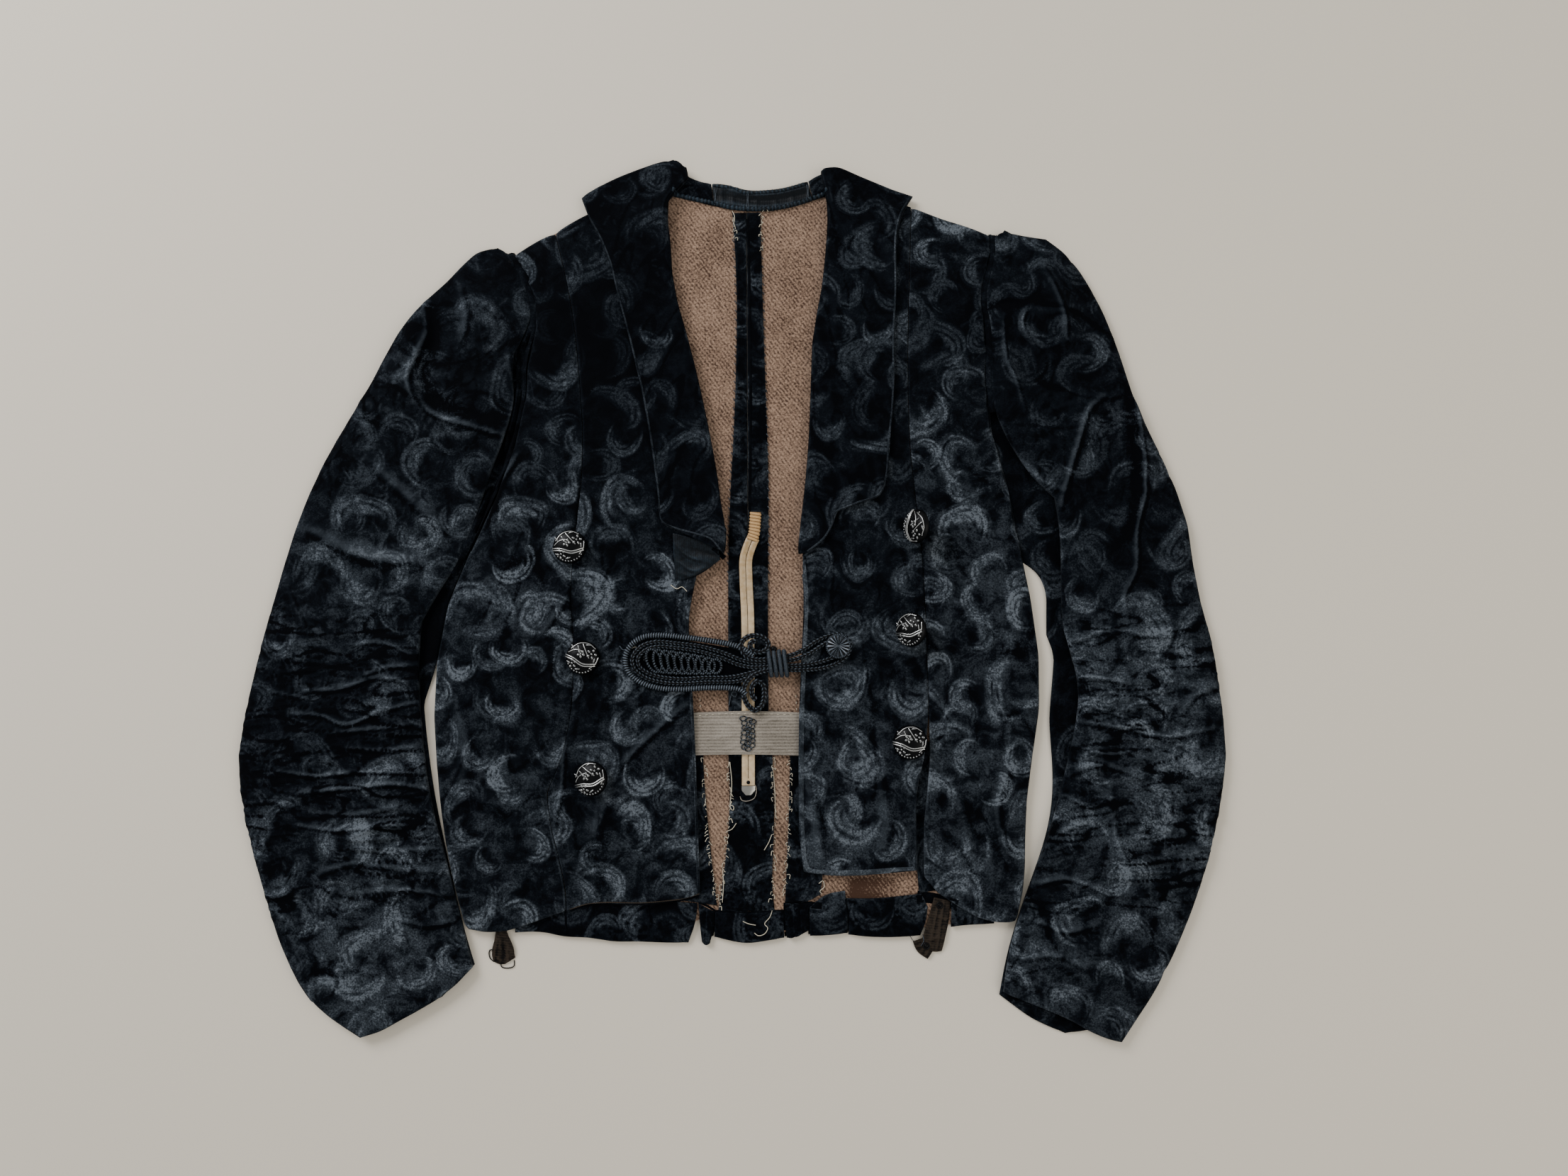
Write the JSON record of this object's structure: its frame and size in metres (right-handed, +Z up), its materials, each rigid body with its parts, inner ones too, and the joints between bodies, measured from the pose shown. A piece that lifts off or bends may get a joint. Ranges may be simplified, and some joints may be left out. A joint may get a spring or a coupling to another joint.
{
  "type": "victorian bodice jacket",
  "caption": "Boned velvet bodice jacket with wide revers, puffed two-piece sleeves, frog closure and openwork buttons, laid flat with its fronts open.",
  "frame": {"origin": "middle of the laid garment's plan, on the surface it lies on", "axes": "+X to the viewer's right across the garment, +Y from the hem to the neck, +Z up from the surface"},
  "size_m": [0.7846, 0.7124, 0.0325],
  "materials": {
    "velvet": "near-black blue figured velvet, pile of two heights",
    "velvet_underside": "the same velvet in the shade of the folds",
    "twill": "brown cotton twill, matt",
    "satin": "black satin, soft sheen",
    "tape": "grey-brown ribbed waist tape",
    "bone": "cream flat boning, smooth",
    "ribbon": "dark brown ribbon",
    "cord": "black plaited cord",
    "button_metal": "dark openwork metal, raised parts worn bright",
    "nickel": "plain bright metal"
  },
  "bodies": {
    "root": {"front_left": "velvet", "front_right": "velvet", "side_front_left": "velvet", "side_front_right": "velvet", "upper_sleeve_left": "velvet", "upper_sleeve_right": "velvet", "revers_left": "velvet", "revers_right": "velvet", "skirt_velvet_centre": "velvet", "skirt_velvet_left": "velvet", "skirt_velvet_right": "velvet", "hem_facing_left": "velvet", "hem_facing_centre": "velvet", "hem_facing_right": "velvet", "hem_facing_far_right": "velvet", "hem_facing_side": "velvet", "slit_facing": "velvet", "collar_stand_left": "velvet", "collar_stand_right": "velvet", "under_sleeve_left": "velvet_underside", "under_sleeve_right": "velvet_underside", "seam_turning_left": "velvet_underside", "seam_turning_right": "velvet_underside", "skirt_pleat_left": "velvet_underside", "skirt_pleat_right": "velvet_underside", "back_left": "twill", "back_right": "twill", "neck_band": "satin", "satin_facing_left": "satin", "waist_tape": "tape", "bone": "bone", "bone_end_left": "ribbon", "bone_end_right": "ribbon", "frog_outer_loop": "cord", "frog_middle_loop": "cord", "frog_inner_loop": "cord", "frog_right_outer_loop": "cord", "frog_right_inner_loop": "cord", "frog_upper_curl": "cord", "frog_lower_curl": "cord", "frog_wrap_1": "cord", "frog_wrap_2": "cord", "frog_wrap_3": "cord", "frog_wrap_4": "cord", "frog_chain": "cord", "frog_disc": "cord", "bone_winding": "cord", "button_left_upper": "button_metal", "button_left_middle": "button_metal", "button_left_lower": "button_metal", "button_right_upper": "button_metal", "button_right_middle": "button_metal", "button_right_lower": "button_metal", "bone_tip": "nickel"}
  },
  "joints": []
}
